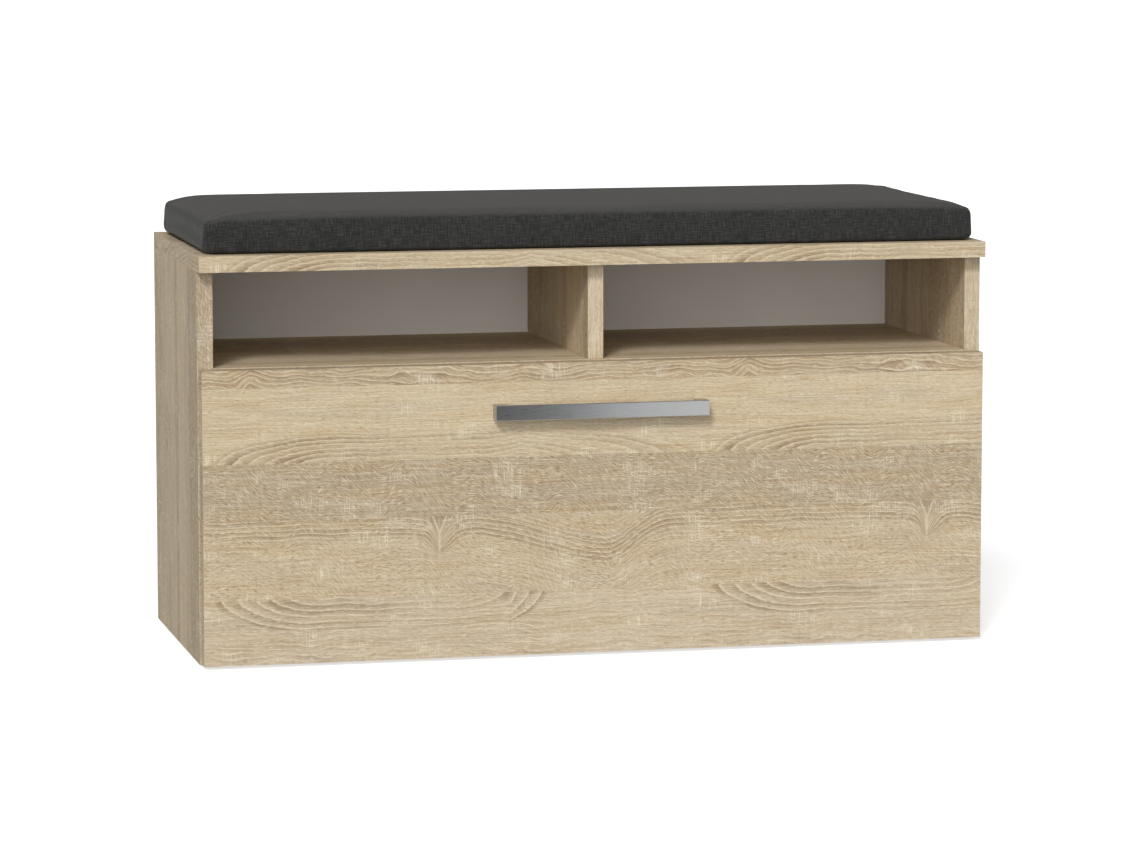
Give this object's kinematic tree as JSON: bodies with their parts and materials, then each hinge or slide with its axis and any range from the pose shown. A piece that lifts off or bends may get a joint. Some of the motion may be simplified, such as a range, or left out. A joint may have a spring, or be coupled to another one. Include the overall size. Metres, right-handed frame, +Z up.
{
  "type": "entryway bench",
  "caption": "Low hallway bench with a padded seat, open cubbies under the seat board, and one wide pull-out drawer with a bar handle.",
  "frame": {"origin": "on the floor, under the centre of the bench's whole box (handle included)", "axes": "+Z up, +X along the width to the right of a person facing the drawer, +Y towards the wall"},
  "size_m": [0.9, 0.369, 0.505],
  "materials": {
    "oak_laminate": "light oak decor laminate, matt with pores",
    "white_hardboard": "pale lacquered hardboard",
    "white_board": "white laminate chipboard",
    "beech": "bare beech",
    "satin_steel": "satin",
    "zinc_steel": "zinc plated",
    "coated_steel": "white epoxy coated",
    "nylon": "moulded",
    "clear_rubber": "soft, clear grey",
    "woven_fabric": "charcoal melange weave",
    "hook_tape": "hook-and-loop tape"
  },
  "bodies": {
    "carcass": {"back_panel": "white_hardboard", "bottom_panel": "oak_laminate", "centre_divider": "oak_laminate", "divider_foot_dowel_1": "beech", "divider_foot_dowel_2": "beech", "divider_top_dowel_1": "beech", "divider_top_dowel_2": "beech", "left_bottom_cam_1": "zinc_steel", "left_bottom_cam_2": "zinc_steel", "left_cabinet_runner": "coated_steel", "left_cabinet_runner_screw_1": "zinc_steel", "left_cabinet_runner_screw_2": "zinc_steel", "left_cushion_strip": "hook_tape", "left_glide_1": "nylon", "left_glide_2": "nylon", "left_shelf_cam_1": "zinc_steel", "left_shelf_cam_2": "zinc_steel", "left_side": "oak_laminate", "left_slab_dowel_1": "beech", "left_slab_dowel_2": "beech", "right_bottom_cam_1": "zinc_steel", "right_bottom_cam_2": "zinc_steel", "right_cabinet_runner": "coated_steel", "right_cabinet_runner_screw_1": "zinc_steel", "right_cabinet_runner_screw_2": "zinc_steel", "right_cushion_strip": "hook_tape", "right_glide_1": "nylon", "right_glide_2": "nylon", "right_shelf_cam_1": "zinc_steel", "right_shelf_cam_2": "zinc_steel", "right_side": "oak_laminate", "right_slab_dowel_1": "beech", "right_slab_dowel_2": "beech", "seat_cushion": "woven_fabric", "shelf_panel": "oak_laminate", "top_slab": "oak_laminate"},
    "drawer": {"drawer_back": "white_board", "drawer_bottom": "white_hardboard", "drawer_bottom_brace": "white_board", "drawer_front": "oak_laminate", "drawer_left_side": "white_board", "drawer_right_side": "white_board", "handle_bar": "satin_steel", "handle_screw_left": "zinc_steel", "handle_screw_right": "zinc_steel", "left_bumper_1": "clear_rubber", "left_bumper_2": "clear_rubber", "left_drawer_runner": "coated_steel", "left_drawer_runner_screw_1": "zinc_steel", "left_drawer_runner_screw_2": "zinc_steel", "right_bumper_1": "clear_rubber", "right_bumper_2": "clear_rubber", "right_drawer_runner": "coated_steel", "right_drawer_runner_screw_1": "zinc_steel", "right_drawer_runner_screw_2": "zinc_steel"},
    "front_roller_left": {"left_front_roller": "nylon"},
    "front_roller_right": {"right_front_roller": "nylon"},
    "rear_roller_left": {"left_rear_roller": "nylon"},
    "rear_roller_right": {"right_rear_roller": "nylon"}
  },
  "joints": [
    {"name": "drawer_slide", "type": "slide", "parent": "carcass", "child": "drawer", "axis": [0, -1, 0], "range_m": [0, 0.22]},
    {"name": "front_roller_left_turn", "type": "hinge", "parent": "carcass", "child": "front_roller_left", "pos_m": [-0.426, -0.1335, 0.048], "axis": [1, 0, 0], "range_deg": [0, 1630]},
    {"name": "rear_roller_left_turn", "type": "hinge", "parent": "drawer", "child": "rear_roller_left", "pos_m": [-0.425, 0.1415, 0.047], "axis": [1, 0, 0], "range_deg": [0, 1870]},
    {"name": "front_roller_right_turn", "type": "hinge", "parent": "carcass", "child": "front_roller_right", "pos_m": [0.426, -0.1335, 0.048], "axis": [1, 0, 0], "range_deg": [0, 1630]},
    {"name": "rear_roller_right_turn", "type": "hinge", "parent": "drawer", "child": "rear_roller_right", "pos_m": [0.425, 0.1415, 0.047], "axis": [1, 0, 0], "range_deg": [0, 1870]}
  ],
  "couplings": [
    {"joint": "front_roller_left_turn", "follows": "drawer_slide", "rad_per_m": 129.03},
    {"joint": "rear_roller_left_turn", "follows": "drawer_slide", "rad_per_m": 148.15},
    {"joint": "front_roller_right_turn", "follows": "drawer_slide", "rad_per_m": 129.03},
    {"joint": "rear_roller_right_turn", "follows": "drawer_slide", "rad_per_m": 148.15}
  ]
}
